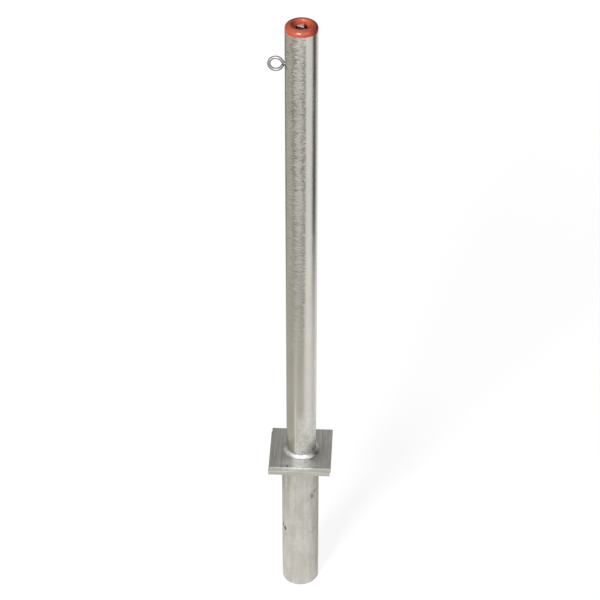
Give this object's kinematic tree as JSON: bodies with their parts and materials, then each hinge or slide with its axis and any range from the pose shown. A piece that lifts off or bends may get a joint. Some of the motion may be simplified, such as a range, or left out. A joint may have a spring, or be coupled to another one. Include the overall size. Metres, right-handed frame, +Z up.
{
  "type": "removable bollard",
  "caption": "Round galvanised steel post with a red locking cap and a side eye, on a square plate over its ground sleeve; a triangular key unlocks it so that it lifts out.",
  "frame": {"origin": "on the ground sleeve's axis at ground level, which is the underside of the sleeve's square plate", "axes": "+Z up along the sleeve and post; +X along the plates' front edges, away from the side eye; the plates' front edges face -Y"},
  "size_m": [0.127, 0.125, 1.33],
  "materials": {
    "galvanised_post": "hot-dip galvanised, ground, satin with fine scratches",
    "galvanised_plate": "hot-dip galvanised flat bar, satin with rolling streaks",
    "galvanised_matt": "hot-dip galvanised, matt and mottled",
    "weld_bead": "galvanised over the bead, bright satin",
    "zinc_steel": "electro-galvanised, bright satin",
    "spring_steel": "phosphated spring steel, dark satin",
    "red_cap": "orange-red moulded plastic, glossy"
  },
  "bodies": {
    "ground_sleeve": {"sleeve_tube": "galvanised_matt", "sleeve_plate": "galvanised_plate", "sleeve_weld": "weld_bead", "keeper_left": "galvanised_matt", "keeper_right": "galvanised_matt"},
    "post": {"post_tube": "galvanised_post", "post_plate": "galvanised_plate", "post_weld": "weld_bead", "cap": "red_cap", "top_guide_disc": "galvanised_matt", "bottom_guide_disc": "galvanised_matt", "turn_stop_pin": "zinc_steel", "eye_bolt": "zinc_steel", "eye_washer": "zinc_steel", "eye_nut": "zinc_steel"},
    "lock": {"key_spindle": "zinc_steel", "thrust_washer": "zinc_steel", "spindle_clip": "spring_steel", "spindle_pin": "spring_steel", "lock_rod": "zinc_steel", "hammer_head": "zinc_steel", "head_pin": "spring_steel"}
  },
  "joints": [
    {"name": "post_lift", "type": "slide", "parent": "ground_sleeve", "child": "post", "axis": [0, 0, 1], "range_m": [0, 0.26]},
    {"name": "lock_turn", "type": "hinge", "parent": "post", "child": "lock", "pos_m": [0.002, 0, 0.972], "axis": [0, 0, -1], "range_deg": [0, 90]}
  ]
}
